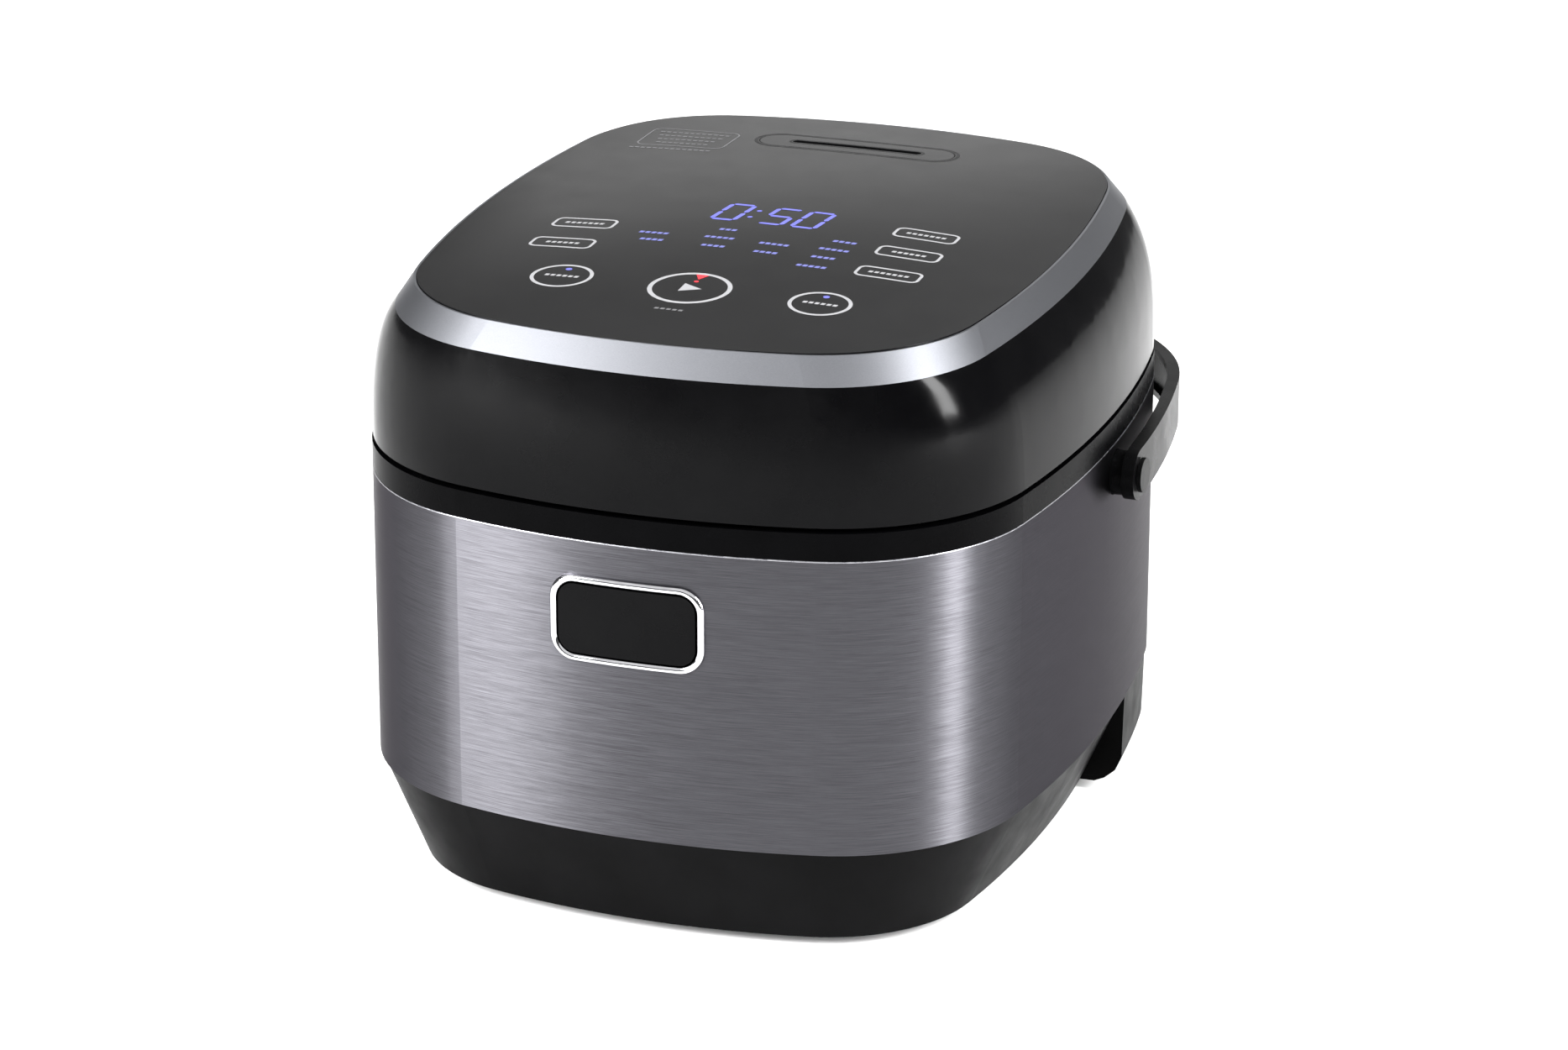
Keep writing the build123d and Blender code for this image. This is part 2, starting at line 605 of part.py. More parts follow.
def board_post(x, z):
    """Spacer that joins the board to the rear wall."""
    wall_y = rear_wall_y(x) - WALL - 0.9
    board_y = BOARD_Y + BOARD_THICKNESS
    return tube_y(x, (board_y + wall_y) / 2, z, 3, wall_y - board_y)


def rear_wall_y(x):
    """Y of the rear wall's outer face near the middle of the cooker."""
    return BODY_HALF_DEPTH - FRONT_BOW_RADIUS + math.sqrt(FRONT_BOW_RADIUS**2 - x**2)


def heat_sink():
    base = block((-64, BOARD_Y - 3, 60), (-18, BOARD_Y, 118))
    for index in range(8):
        x = -63 + index * 6.2
        base += block((x, BOARD_Y - 17, 60), (x + 1.6, BOARD_Y - 2, 118))
    return base


def capacitor():
    return tube_y(-80, BOARD_Y - 15, 74, 11, 30)


def choke():
    ring = Pos(-8, BOARD_Y - 6, 50) * Rot(90, 0, 0) * (Cylinder(9.5, 12) - Cylinder(4, 14))
    return ring


# --- power inlet ------------------------------------------------------------
def inlet_socket():
    face_y = rear_wall_y(INLET_X) + 0.6
    half_width = INLET_WIDTH / 2 + INLET_RIM
    half_height = INLET_HEIGHT / 2 + INLET_RIM
    body = block(
        (INLET_X - half_width, face_y - INLET_DEPTH - 4, INLET_Z - half_height),
        (INLET_X + half_width, face_y, INLET_Z + half_height),
    )
    cavity = block(
        (INLET_X - INLET_WIDTH / 2 + 2, face_y - INLET_DEPTH, INLET_Z - INLET_HEIGHT / 2 + 2),
        (INLET_X + INLET_WIDTH / 2 - 2, face_y + 1, INLET_Z + INLET_HEIGHT / 2 - 2),
    )
    return body - fillet(cavity.edges().filter_by(Axis.Y), 3)


def inlet_blade(x, z):
    root_y = rear_wall_y(INLET_X) + 0.6 - INLET_DEPTH
    return block((x - 1, root_y, z - 2), (x + 1, root_y + 12, z + 2))


# --- front button and latch -------------------------------------------------
def front_slab(width, height, corner, outside, inside):
    """Piece of a curved wall in front of the button, seen as a rounded rectangle."""
    bar = rounded_bar_y(width, height, corner, -FAR, 0, BUTTON_Z)
    wall = body_band(-outside, inside, BUTTON_Z - height, BUTTON_Z + height)
    return bar & wall


def button_bezel():
    frame = front_slab(
        BUTTON_WIDTH + 2 * BEZEL_BORDER, BUTTON_HEIGHT + 2 * BEZEL_BORDER,
        BUTTON_CORNER + BEZEL_BORDER, BEZEL_STANDOFF, 0,
    )
    collar = front_slab(BUTTON_WIDTH + 1.8, BUTTON_HEIGHT + 1.8, BUTTON_CORNER - 0.1, BEZEL_STANDOFF, 6)
    hole = rounded_bar_y(
        BUTTON_WIDTH, BUTTON_HEIGHT, BUTTON_CORNER - 1, -FAR, 0, BUTTON_Z
    )
    return frame + collar - hole


def front_button():
    gap = MOVING_GAP
    face = front_slab(
        BUTTON_WIDTH - 2 * gap, BUTTON_HEIGHT - 2 * gap, BUTTON_CORNER - 1 - gap,
        BEZEL_STANDOFF - 0.8, BUTTON_THICKNESS - BEZEL_STANDOFF + 0.8,
    )
    back_y = -BODY_HALF_DEPTH + 2
    return face + tube_y(0, (back_y + STEM_END_Y) / 2, BUTTON_Z, STEM_RADIUS, STEM_END_Y - back_y)


def spring_y(x, low_y, high_y, z, radius, wire, turns):
    """Compression spring lying along Y."""
    flat = spring_z(0, 0, 0, high_y - low_y, radius, wire, turns)
    return Pos(x, high_y, z) * Rot(90, 0, 0) * flat


def button_spring():
    """Return spring around the stem, drawn as short as the pressed button makes it."""
    pressed_back_y = -BODY_HALF_DEPTH + BUTTON_THICKNESS - BEZEL_STANDOFF + 0.8 + BUTTON_TRAVEL
    return spring_y(0, pressed_back_y + 0.3, LATCH_FRAME_Y, BUTTON_Z, 6.0, 0.9, 2.5)


def latch_frame():
    """Bracket behind the button that guides its stem and carries the hook's pin."""
    low_y = LATCH_FRAME_Y
    high_y = LATCH_FRAME_Y + LATCH_FRAME_THICKNESS
    plate = block((-34, low_y, BUTTON_Z - 16), (34, high_y, HOOK_PIVOT_Z + 6))
    plate -= tube_y(0, low_y, BUTTON_Z, STEM_RADIUS + MOVING_GAP, 20)
    plate -= block((-7, low_y - 5, BUTTON_Z + 8), (7, high_y + 5, DECK_UNDERSIDE_Z))
    for sign in (-1, 1):
        near = sign * (HOOK_HALF_WIDTH + 0.6)
        far = sign * (HOOK_HALF_WIDTH + 4.6)
        plate += span_x(near, far, (low_y, HOOK_PIVOT_Z - 6), (HOOK_Y + 5, HOOK_PIVOT_Z + 6))
        plate += span_x(sign * 22, sign * 34, (low_y, HOOK_PIVOT_Z), (low_y + 12, DECK_UNDERSIDE_Z))
    return plate - tube_x(0, HOOK_Y, HOOK_PIVOT_Z, HOOK_PIN_RADIUS, 40)


def latch_pin():
    return tube_x(0, HOOK_Y, HOOK_PIVOT_Z, HOOK_PIN_RADIUS, 2 * HOOK_HALF_WIDTH + 9)


def latch_hook():
    """Lever whose foot the button pushes and whose nose stands at the lid's catch bar."""
    front = HOOK_Y - HOOK_THICKNESS / 2
    rear = HOOK_Y + HOOK_THICKNESS / 2
    half = HOOK_HALF_WIDTH
    top = CATCH_BAR_Z + CATCH_BAR_RADIUS + 4
    arm = block((-half, front, BUTTON_Z - 6), (half, rear, top))
    nose_end = CATCH_BAR_Y - CATCH_BAR_RADIUS - 0.6
    nose = block((-half, front, CATCH_BAR_Z - 1), (half, nose_end, top))
    hub = tube_x(0, HOOK_Y, HOOK_PIVOT_Z, 4.5, 2 * half)
    return arm + nose + hub - tube_x(0, HOOK_Y, HOOK_PIVOT_Z, HOOK_PIN_RADIUS + RUNNING_FIT, 40)


# --- lid --------------------------------------------------------------------
def lid_skin(inset):
    """Bulging side wall of the lid, from its lower edge to the leaning shoulder."""
    sections = [lid_face(*section, inset) for section in LID_PROFILE]
    sections.append(lid_top(lean_face(*TRIM_LOWER_INSETS, 0, inset)))
    return loft(sections)


def hinge_notch(clearance):
    """Room around the two body ears and their springs, as the lid swings."""
    inner = KNUCKLE_HALF_LENGTH + MOVING_GAP - clearance
    outer = SPRING_END_X + clearance
    top = HINGE_Z + HINGE_BARREL_RADIUS + clearance
    low_y = HINGE_Y - HINGE_BARREL_RADIUS - 1
    return [span_x(sign * inner, sign * outer, (low_y, 0), (FAR, top)) for sign in (-1, 1)]


def lid_shell():
    lean = (BODY_HALF_DEPTH - TRIM_LOWER_INSETS[1]) * math.sin(math.radians(LID_TILT))
    roof_z = LID_SHOULDER_Z - lean - WALL
    hollow = lid_skin(WALL) & block((-FAR, -FAR, 0), (FAR, FAR, roof_z))
    shell = lid_skin(0) - hollow
    for x, y in LID_SCREW_SPOTS:
        post = tube_z(x, y, LID_FRAME_Z + LID_FRAME_THICKNESS, roof_z + 0.5, 4)
        shell += post - tube_z(x, y, 0, LID_FRAME_Z + 17, SCREW_RADIUS + 0.02)
    around = 2 * DUCT_WALL + 1.2
    shell -= stadium(VENT_LENGTH + around, VENT_WIDTH + around, VENT_CAP_BOTTOM_Z - 6, FAR)
    shell -= block((-12, -40, roof_z - 5), (12, -30, FAR))
    for notch in hinge_notch(MOVING_GAP):
        shell -= notch
    return shell


def lid_frame():
    """Floor of the lid, with the round recess over the pot and the hinge knuckle."""
    low = LID_FRAME_Z
    _, side, end, corner = LID_PROFILE[0]
    face = drawn_in_face(side, end, corner, WALL + 0.5)
    plate = prism(face, low, low + LID_FRAME_THICKNESS)
    plate += tube_z(0, POT_Y, low, LID_CUP_TOP_Z, LID_CUP_RADIUS)
    plate -= tube_z(0, POT_Y, 0, LID_CUP_TOP_Z - LID_CUP_ROOF, LID_CUP_RADIUS - 2)
    plate -= tube_z(0, STEAM_HOLE_Y, 0, FAR, STEAM_HOLE_RADIUS)
    for notch in hinge_notch(MOVING_GAP):
        plate -= notch
    plate += tube_x(0, HINGE_Y, HINGE_Z, HINGE_BARREL_RADIUS, 2 * KNUCKLE_HALF_LENGTH)
    plate -= tube_x(0, HINGE_Y, HINGE_Z, HINGE_PIN_RADIUS + RUNNING_FIT, 60)
    plate -= block((-HOOK_HALF_WIDTH - 1, HOOK_Y - 10, 0), (HOOK_HALF_WIDTH + 1, CATCH_BAR_Y + 5, FAR))
    for sign in (-1, 1):
        near = sign * (HOOK_HALF_WIDTH + 1.5)
        far = sign * (HOOK_HALF_WIDTH + 7)
        plate += span_x(near, far, (CATCH_BAR_Y - 4, low), (CATCH_BAR_Y + 4, CATCH_BAR_Z + 4))
    plate -= tube_x(0, CATCH_BAR_Y, CATCH_BAR_Z, CATCH_BAR_RADIUS, 60)
    for x, y in LID_SCREW_SPOTS:
        plate -= tube_z(x, y, 0, FAR, SCREW_RADIUS + 0.2)
    return plate


def catch_bar():
    return tube_x(0, CATCH_BAR_Y, CATCH_BAR_Z, CATCH_BAR_RADIUS, 2 * HOOK_HALF_WIDTH + 14)


def trim_ring():
    lower = lean_face(*TRIM_LOWER_INSETS, 0)
    upper = lean_face(*TRIM_UPPER_INSETS, TRIM_HEIGHT)
    ring = loft([lower, upper], ruled=True)
    ledge_z = TRIM_HEIGHT - PANEL_THICKNESS
    ring -= extrude(lean_face(*TRIM_UPPER_INSETS, ledge_z, PANEL_INSET - PANEL_CLEARANCE), amount=10)
    ring -= extrude(lean_face(*TRIM_UPPER_INSETS, -1, PANEL_INSET + 4), amount=20)
    return lid_top(ring)


def under_dome():
    """Everything below the panel's gently domed top face."""
    reach_x = BODY_HALF_WIDTH - TRIM_UPPER_INSETS[0] - PANEL_INSET
    reach_y = BODY_HALF_DEPTH - TRIM_UPPER_INSETS[1] - PANEL_INSET
    steps = [i / 4 for i in range(-5, 6)]
    points = [
        [
            Vector(
                u * reach_x,
                TRIM_CENTRE_Y + v * reach_y,
                TRIM_HEIGHT + PANEL_DOME * (1 - u * u) * (1 - v * v),
            )
            for v in steps
        ]
        for u in steps
    ]
    surface = Face.make_surface_from_array_of_points(points)
    return lid_top(Solid.extrude(surface, Vector(0, 0, -80)))


def top_panel():
    plate = lean_face(*TRIM_UPPER_INSETS, TRIM_HEIGHT - PANEL_THICKNESS, PANEL_INSET)
    panel = lid_top(extrude(plate, amount=20)) & under_dome()
    return panel - vent_hole(VENT_CAP_BOTTOM_Z)


def steam_duct():
    top = LID_SHOULDER_Z + TRIM_HEIGHT - PANEL_THICKNESS + 1.2
    wall = 2 * (DUCT_WALL + MOVING_GAP)
    outer = stadium(VENT_LENGTH + wall, VENT_WIDTH + wall, VENT_CAP_BOTTOM_Z - 6, top)
    outer += block((-20, STEAM_HOLE_Y - 14, LID_CUP_TOP_Z), (20, VENT_Y, VENT_CAP_BOTTOM_Z + 4))
    inner = vent_hole(VENT_CAP_BOTTOM_Z - 3)
    inner += block(
        (-17, STEAM_HOLE_Y - 11, LID_CUP_TOP_Z + 2.5), (17, VENT_Y - 4, VENT_CAP_BOTTOM_Z + 1.5)
    )
    return outer - inner - tube_z(0, STEAM_HOLE_Y, 0, LID_CUP_TOP_Z + 5, STEAM_HOLE_RADIUS)


def steam_cap():
    cap = stadium(VENT_LENGTH, VENT_WIDTH, VENT_CAP_BOTTOM_Z, FAR) & under_dome()
    cap -= stadium(VENT_LENGTH - 4, VENT_WIDTH - 4, VENT_CAP_BOTTOM_Z - 1, LID_SHOULDER_Z + TRIM_HEIGHT)
    return cap - stadium(VENT_SLOT_LENGTH, VENT_SLOT_WIDTH, VENT_CAP_BOTTOM_Z - 1, FAR)


def control_board():
    return lid_top(block((-86, -110, 1.5), (86, 16, 3.1)))


def board_standoff(x, y):
    return lid_top(tube_z(x, y, 0, 1.5, 3.5))


def display_module():
    return lid_top(block((-34, -22, 3.1), (34, 12, 6.3)))


KEY_SPOTS = [(0, -94, 15), (-52.5, -94, 10), (52.5, -94, 10)]
KEY_SPOTS += [(-67, y, 6) for y in (-57.0, -32.0)]
KEY_SPOTS += [(66, y, 6) for y in (-54.0, -29.0, -5.0)]


def touch_pad(x, y, radius):
    return lid_top(tube_z(x, y, 3.1, 6.4, radius))


def inner_lid_plate():
    """Round metal plate that closes the pot."""
    plate = tube_z(0, POT_Y, INNER_LID_Z, INNER_LID_Z + INNER_LID_THICKNESS, INNER_LID_RADIUS)
    return plate - tube_z(0, STEAM_HOLE_Y, 0, FAR, STEAM_HOLE_RADIUS + 2)


def steam_valve():
    """Collar that joins the inner lid's steam hole to the duct."""
    top = LID_CUP_TOP_Z - LID_CUP_ROOF
    collar = tube_z(0, STEAM_HOLE_Y, INNER_LID_Z - 1.5, top, STEAM_HOLE_RADIUS + 2)
    collar += tube_z(0, STEAM_HOLE_Y, INNER_LID_Z - 2.5, INNER_LID_Z, STEAM_HOLE_RADIUS + 5)
    return collar - tube_z(0, STEAM_HOLE_Y, 0, FAR, STEAM_HOLE_RADIUS - 1)


def inner_lid_clip(sign):
    x = sign * (INNER_LID_RADIUS - 15)
    low_z = INNER_LID_Z + INNER_LID_THICKNESS
    return block((x - 4, POT_Y - 8, low_z), (x + 4, POT_Y + 8, LID_CUP_TOP_Z - LID_CUP_ROOF))


def lid_gasket():
    outer = LID_CUP_RADIUS - 2.2
    lip_z = POT_FLANGE_Z + POT_FLANGE_THICKNESS + 0.3
    body = ring_z(0, POT_Y, INNER_LID_Z - 0.5, LID_CUP_TOP_Z - LID_CUP_ROOF, outer, INNER_LID_RADIUS)
    neck = ring_z(0, POT_Y, lip_z + 1.7, INNER_LID_Z, outer, INNER_LID_RADIUS + 2)
    lip = ring_z(0, POT_Y, lip_z, lip_z + 2.2, POT_FLANGE_RADIUS - 3, INNER_LID_RADIUS + 2)
    return body + neck + lip


def lid_spring(sign):
    """Torsion spring around the hinge pin, outboard of the ear, with its leg on the deck."""
    start = KNUCKLE_HALF_LENGTH + MOVING_GAP + LUG_WIDTH + 0.2
    coil = spring_z(0, 0, 0, SPRING_END_X - start - 0.4, 3.8, 0.9, 6)
    coil = Pos(start, HINGE_Y, HINGE_Z) * Rot(0, 90, 0) * coil
    leg = tube_z(start + 4, HINGE_Y + 3.8, HINGE_RELIEF_Z, HINGE_Z, 0.45)
    spring = coil + leg
    return spring if sign > 0 else mirror(spring, Plane.YZ)


# --- carrying handle --------------------------------------------------------
def handle_face(inset):
    return outline(HANDLE_HALF_WIDTH, HANDLE_HALF_DEPTH, HANDLE_CORNER_RADIUS, inset)


def handle_band(outer_inset, inner_inset, low_z, high_z):
    return prism(handle_face(outer_inset), low_z, high_z) - prism(
        handle_face(inner_inset), low_z - 1, high_z + 1
    )


def handle_bail():
    """U-shaped handle, a channel open inwards, with a solid eye at each end."""
    low = HANDLE_PIVOT_Z - HANDLE_HEIGHT / 2
    high = HANDLE_PIVOT_Z + HANDLE_HEIGHT / 2
    channel = handle_band(0, HANDLE_FLANGE, low, high)
    channel -= handle_band(HANDLE_WALL, HANDLE_FLANGE + 1, low + HANDLE_WALL, high - HANDLE_WALL)
    eyes = handle_band(0, HANDLE_FLANGE, low, high)
    eye_end = HANDLE_PIVOT_Y + HANDLE_EYE_LENGTH / 2
    eyes = eyes & block((-FAR, -FAR, 0), (FAR, eye_end, FAR))
    bail = channel + eyes
    bail = bail & block((-FAR, HANDLE_PIVOT_Y, 0), (FAR, FAR, FAR))
    for sign in (-1, 1):
        x = sign * (HANDLE_HALF_WIDTH - HANDLE_FLANGE / 2)
        round_end = tube_x(x, HANDLE_PIVOT_Y, HANDLE_PIVOT_Z, HANDLE_HEIGHT / 2, HANDLE_FLANGE)
        bail += round_end & handle_band(0, HANDLE_FLANGE, low, high)
    return bail - tube_x(0, HANDLE_PIVOT_Y, HANDLE_PIVOT_Z, HANDLE_PIN_RADIUS + RUNNING_FIT, FAR)


def handle_mount(sign):
    """Boss on the body with the pin that the handle turns on."""
    inner_x = BODY_HALF_WIDTH - 6.8
    boss_end = HANDLE_HALF_WIDTH - HANDLE_FLANGE - MOVING_GAP
    pin_end = HANDLE_HALF_WIDTH + 1
    y, z = HANDLE_PIVOT_Y, HANDLE_PIVOT_Z
    plate = tube_x(BODY_HALF_WIDTH - 5.3, y, z, 13, 3)
    boss = tube_x((inner_x + boss_end) / 2, y, z, HANDLE_BOSS_RADIUS, boss_end - inner_x)
    pin = tube_x((inner_x + pin_end) / 2, y, z, HANDLE_PIN_RADIUS, pin_end - inner_x)
    mount = plate + boss + pin
    return mount if sign > 0 else mirror(mount, Plane.YZ)


def handle_cap(sign):
    """Round cap pressed on the pin's end, outside the eye."""
    x = HANDLE_HALF_WIDTH + MOVING_GAP
    cap = tube_x(x + HANDLE_CAP_THICKNESS / 2, HANDLE_PIVOT_Y, HANDLE_PIVOT_Z, 7, HANDLE_CAP_THICKNESS)
    cap -= tube_x(x, HANDLE_PIVOT_Y, HANDLE_PIVOT_Z, HANDLE_PIN_RADIUS, 1.3)
    return cap if sign > 0 else mirror(cap, Plane.YZ)


# --- the whole cooker -------------------------------------------------------
node("base_shell", base_shell())
node("bottom_cover", bottom_cover())
node("rubber_feet", *[rubber_foot(x, y) for x, y in FOOT_SPOTS])
node("bottom_screws", *[screw_up(x, y, BASE_BOTTOM_Z - 2, 14) for x, y in COVER_SCREW_SPOTS])
node("steel_wrap", steel_wrap())
node("rear_cover", rear_cover())
node("top_ring", top_ring())
node("hinge_pins", hinge_pin(-1), hinge_pin(1))
node("lid_springs", lid_spring(-1), lid_spring(1))
node("inner_liner", inner_liner())
node("inner_pot", inner_pot())
node("pot_cushions", *[pot_cushion(angle) for angle in (30, 150, 270)])
node("induction_coil", induction_coil())
node("coil_carrier", coil_carrier())
node("ferrite_bars", *[ferrite_bar(index) for index in range(FERRITE_COUNT)])
node("sensor_housing", sensor_housing())
node("sensor_cap", sensor_cap())
node("sensor_spring", spring_z(0, POT_Y, SENSOR_SEAT_Z, SENSOR_CAP_FLOOR_Z, 9, 1.2, 5))
node("fan_housing", fan_housing())
node("fan_impeller", fan_impeller())
node("power_board", power_board())
node("board_posts", *[board_post(x, z) for x in (-66, -2) for z in (62, 124)])
node("heat_sink", heat_sink())
node("capacitor", capacitor())
node("choke", choke())
node("inlet_socket", inlet_socket())
node("inlet_blades", *[inlet_blade(INLET_X + x, INLET_Z + z) for x, z in ((-7, -2), (0, 3), (7, -2))])
node("button_bezel", button_bezel())
node("front_button", front_button())
node("button_spring", button_spring())
node("latch_frame", latch_frame())
node("latch_pin", latch_pin())
node("latch_hook", latch_hook())
node("lid_shell", lid_shell())
node("lid_frame", lid_frame())
node("lid_screws", *[screw_up(x, y, LID_FRAME_Z - 2, 10) for x, y in LID_SCREW_SPOTS])
node("catch_bar", catch_bar())
node("trim_ring", trim_ring())
node("top_panel", top_panel())
node("control_board", control_board())
node("board_standoffs", *[board_standoff(x, y) for x in (-78, 78) for y in (-100, 8)])
node("display_module", display_module())
node("touch_pads", *[touch_pad(*spot) for spot in KEY_SPOTS])
node("steam_duct", steam_duct())
node("steam_cap", steam_cap())
node("inner_lid_plate", inner_lid_plate())
node("inner_lid_clips", inner_lid_clip(-1), inner_lid_clip(1))
node("steam_valve", steam_valve())
node("lid_gasket", lid_gasket())
node("handle_bail", handle_bail())
node("handle_mounts", handle_mount(-1), handle_mount(1))
node("handle_caps", handle_cap(-1), handle_cap(1))

for name, shape in NODES.items():
    export_step(Pos(0, ROW_SHIFT_Y, 0) * shape, f"parts/{name}.step")
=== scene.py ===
"""The rice cooker's looks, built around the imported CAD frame. Metres, +Z up, front towards -Y."""
import json
import math

import bmesh
import bpy
from mathutils import Matrix, Vector
from mathutils.bvhtree import BVHTree


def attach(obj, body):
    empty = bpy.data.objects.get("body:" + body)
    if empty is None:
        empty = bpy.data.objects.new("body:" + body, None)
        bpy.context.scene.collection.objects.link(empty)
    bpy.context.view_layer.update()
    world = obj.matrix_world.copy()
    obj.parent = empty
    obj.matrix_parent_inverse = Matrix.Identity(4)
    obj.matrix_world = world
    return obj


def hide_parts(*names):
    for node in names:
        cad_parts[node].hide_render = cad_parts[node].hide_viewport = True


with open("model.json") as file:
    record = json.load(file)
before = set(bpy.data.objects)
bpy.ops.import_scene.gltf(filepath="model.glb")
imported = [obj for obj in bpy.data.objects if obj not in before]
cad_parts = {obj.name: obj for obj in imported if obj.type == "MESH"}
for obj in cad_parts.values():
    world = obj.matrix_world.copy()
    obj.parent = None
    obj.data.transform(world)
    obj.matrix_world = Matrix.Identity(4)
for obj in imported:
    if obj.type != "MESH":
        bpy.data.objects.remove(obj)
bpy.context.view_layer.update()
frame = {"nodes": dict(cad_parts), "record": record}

MM = 0.001
NODES = frame["nodes"]


# --- sizes shared with the CAD ----------------------------------------------
ROW_SHIFT_Y = -10.0            # the body stands this far in front of the origin, mm
FRONT_BOW_RADIUS = 310.0
SIDE_BOW_RADIUS = 568.0
BODY_HALF_WIDTH = 140.0
BODY_HALF_DEPTH = 164.0
BODY_CORNER_RADIUS = 80.0
STEEL_TOP_Z = 163.7
VENT_Y = 103.0                 # middle of the steam cap, from the body's centre


# --- material helpers -------------------------------------------------------
class Shader:
    """A Principled material with short calls for the nodes that feed it."""

    def __init__(self, name, **values):
        self.material = bpy.data.materials.new(name)
        self.material.use_nodes = True
        self.tree = self.material.node_tree
        self.bsdf = self.tree.nodes["Principled BSDF"]
        self.set(**values)

    def set(self, **values):
        for key, value in values.items():
            socket = self.bsdf.inputs[key.replace("_", " ")]
            if socket.type == "RGBA" and len(value) == 3:
                value = (*value, 1.0)
            socket.default_value = value

    def node(self, kind, **settings):
        made = self.tree.nodes.new(kind)
        for key, value in settings.items():
            setattr(made, key, value)
        return made

    def link(self, source, target):
        self.tree.links.new(source, target)

    def coordinates(self, scale=(1, 1, 1)):
        source = self.node("ShaderNodeTexCoord")
        mapping = self.node("ShaderNodeMapping")
        mapping.inputs["Scale"].default_value = scale
        self.link(source.outputs["Object"], mapping.inputs["Vector"])
        return mapping.outputs["Vector"]

    def noise(self, scale, detail=4.0, roughness=0.55, stretch=(1, 1, 1)):
        texture = self.node("ShaderNodeTexNoise")
        texture.inputs["Scale"].default_value = scale
        texture.inputs["Detail"].default_value = detail
        texture.inputs["Roughness"].default_value = roughness
        self.link(self.coordinates(stretch), texture.inputs["Vector"])
        return texture.outputs["Fac"]

    def ramp(self, source, low, high, low_at=0.3, high_at=0.7):
        """Colour that runs from low to high as the source rises."""
        ramp = self.node("ShaderNodeValToRGB")
        for element, colour, place in zip(ramp.color_ramp.elements, (low, high), (low_at, high_at)):
            element.color = (*colour, 1.0)
            element.position = place
        self.link(source, ramp.inputs["Fac"])
        return ramp.outputs["Color"]

    def span(self, source, low, high, low_at=0.3, high_at=0.7):
        """Number that runs from low to high as the source rises."""
        spread = self.node("ShaderNodeMapRange")
        for name, value in zip(
            ("From Min", "From Max", "To Min", "To Max"), (low_at, high_at, low, high)
        ):
            spread.inputs[name].default_value = value
        self.link(source, spread.inputs["Value"])
        return spread.outputs["Result"]

    def bump(self, source, distance, strength=1.0):
        bump = self.node("ShaderNodeBump")
        bump.inputs["Distance"].default_value = distance
        bump.inputs["Strength"].default_value = strength
        self.link(source, bump.inputs["Height"])
        self.link(bump.outputs["Normal"], self.bsdf.inputs["Normal"])

    def colour(self, source):
        self.link(source, self.bsdf.inputs["Base Color"])

    def rough(self, source):
        self.link(source, self.bsdf.inputs["Roughness"])


def moulded_plastic(name, low, high, rough_low, rough_high, grain_scale, grain_depth, specular=0.4):
    """Black moulded plastic: faint blotches, a grain and uneven gloss."""
    shader = Shader(name, Specular_IOR_Level=specular)
    shader.colour(shader.ramp(shader.noise(35, 3), low, high))
    shader.rough(shader.span(shader.noise(60, 4), rough_low, rough_high))
    shader.bump(shader.noise(grain_scale, 2), grain_depth)
    return shader.material


def metal(name, low, high, rough_low, rough_high, stretch=(1, 1, 1), scale=300, depth=2e-6):
    shader = Shader(name, Metallic=1.0)
    streaks = shader.noise(scale, 4, 0.6, stretch)
    shader.colour(shader.ramp(streaks, low, high))
    shader.rough(shader.span(streaks, rough_low, rough_high))
    shader.bump(streaks, depth)
    return shader.material


def brushed_steel():
    """Dark titanium-tinted steel with hairline brushing that runs round the body."""
    shader = Shader(
        "brushed_steel", Metallic=1.0, Anisotropic=0.92, Anisotropic_Rotation=0.25,
        Specular_Tint=(0.5, 0.49, 0.5),
    )
    hairlines = shader.noise(1.0, 5, 0.75, (55, 55, 4200))
    shader.colour(shader.ramp(hairlines, (0.043, 0.0425, 0.047), (0.088, 0.087, 0.096), 0.34, 0.66))
    shader.rough(shader.span(hairlines, 0.33, 0.43, 0.34, 0.66))
    shader.bump(hairlines, 3e-6, 0.5)
    tangent = shader.node("ShaderNodeTangent", direction_type="RADIAL", axis="Z")
    shader.link(tangent.outputs["Tangent"], shader.bsdf.inputs["Tangent"])
    return shader.material


def rubber(name, low, high):
    shader = Shader(name, Specular_IOR_Level=0.25)
    shader.colour(shader.ramp(shader.noise(90, 4), low, high))
    shader.rough(shader.span(shader.noise(140, 3), 0.6, 0.85))
    shader.bump(shader.noise(900, 2), 2e-5)
    return shader.material


def circuit_board():
    """Green solder mask with a dense pattern of tracks under it."""
    shader = Shader("circuit_board", Specular_IOR_Level=0.5)
    tracks = shader.node("ShaderNodeTexBrick")
    tracks.inputs["Scale"].default_value = 90
    tracks.inputs["Mortar Size"].default_value = 0.06
    tracks.inputs["Color1"].default_value = (0.02, 0.10, 0.04, 1)
    tracks.inputs["Color2"].default_value = (0.015, 0.075, 0.03, 1)
    tracks.inputs["Mortar"].default_value = (0.06, 0.22, 0.09, 1)
    shader.link(shader.coordinates(), tracks.inputs["Vector"])
    shader.colour(tracks.outputs["Color"])
    shader.rough(shader.span(shader.noise(200, 3), 0.25, 0.45))
    shader.bump(tracks.outputs["Fac"], 3e-5, 0.5)
    return shader.material


def copper_winding():
    """Lacquered wire, seen as fine turns around the middle."""
    shader = Shader("copper_winding", Metallic=0.9)
    strands = shader.noise(1.0, 3, 0.6, (60, 60, 3000))
    shader.colour(shader.ramp(strands, (0.34, 0.13, 0.05), (0.62, 0.28, 0.12)))
    shader.rough(shader.span(strands, 0.25, 0.45))
    shader.bump(strands, 3e-5)
    return shader.material


